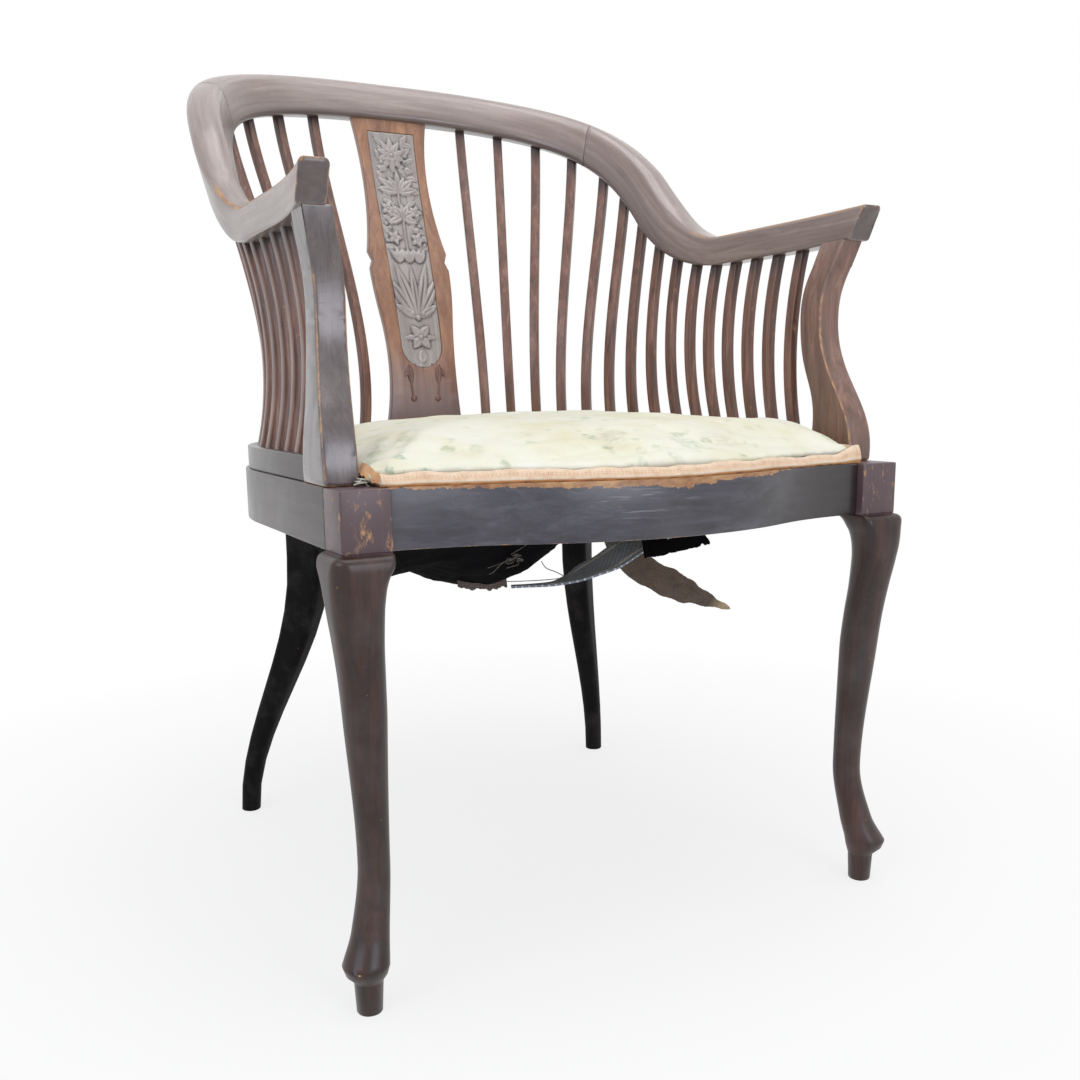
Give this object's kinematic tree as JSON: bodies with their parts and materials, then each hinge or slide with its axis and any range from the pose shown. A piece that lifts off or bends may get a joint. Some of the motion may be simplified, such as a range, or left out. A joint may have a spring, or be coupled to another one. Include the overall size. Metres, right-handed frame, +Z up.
{
  "type": "tub armchair",
  "caption": "Bow-back wooden tub armchair with a spindle gallery, carved vase splat, cabriole front legs and a stuffed-over cloth seat, torn beneath.",
  "frame": {"origin": "on the floor under the middle of the chair's box", "axes": "+Z up, the front of the chair towards -Y, the sitter's right hand towards -X"},
  "size_m": [0.5666, 0.6658, 0.857],
  "materials": {
    "mahogany": "dark red-brown polished mahogany, worn pale on its edges",
    "beech": "bare beech",
    "screw_steel": "plain steel",
    "jute_webbing": "grey-brown woven jute with pale edge stripes",
    "hessian": "coarse brown jute",
    "horsehair": "curled hair",
    "floral_cotton": "worn cream cotton with a faint flower print",
    "peach_hem": "faded peach braid",
    "black_cambric": "thin black cotton"
  },
  "bodies": {
    "root": {"front_rail": "mahogany", "left_side_rail": "mahogany", "right_side_rail": "mahogany", "back_rail": "mahogany", "front_left_leg": "mahogany", "front_right_leg": "mahogany", "rear_left_leg": "mahogany", "rear_right_leg": "mahogany", "left_arm_post": "mahogany", "right_arm_post": "mahogany", "left_spindle_rail": "mahogany", "right_spindle_rail": "mahogany", "back_spindle_rail": "mahogany", "left_arm": "mahogany", "right_arm": "mahogany", "crest_rail": "mahogany", "back_splat": "mahogany", "left_spindle_01": "mahogany", "left_spindle_02": "mahogany", "left_spindle_03": "mahogany", "left_spindle_04": "mahogany", "left_spindle_05": "mahogany", "left_spindle_06": "mahogany", "left_spindle_07": "mahogany", "left_spindle_08": "mahogany", "left_spindle_09": "mahogany", "left_spindle_10": "mahogany", "left_spindle_11": "mahogany", "left_spindle_12": "mahogany", "left_spindle_13": "mahogany", "left_spindle_14": "mahogany", "left_spindle_15": "mahogany", "right_spindle_01": "mahogany", "right_spindle_02": "mahogany", "right_spindle_03": "mahogany", "right_spindle_04": "mahogany", "right_spindle_05": "mahogany", "right_spindle_06": "mahogany", "right_spindle_07": "mahogany", "right_spindle_08": "mahogany", "right_spindle_09": "mahogany", "right_spindle_10": "mahogany", "right_spindle_11": "mahogany", "right_spindle_12": "mahogany", "right_spindle_13": "mahogany", "right_spindle_14": "mahogany", "right_spindle_15": "mahogany", "front_left_corner_block": "beech", "front_right_corner_block": "beech", "dowels": "beech", "corner_block_screws": "screw_steel", "seat_webbing": "jute_webbing", "seat_hessian": "hessian", "seat_stuffing": "horsehair", "seat_cover": "floral_cotton", "seat_braid": "peach_hem", "dust_cover": "black_cambric", "loose_webbing_strap": "jute_webbing", "torn_hessian_tail": "hessian"}
  },
  "joints": []
}
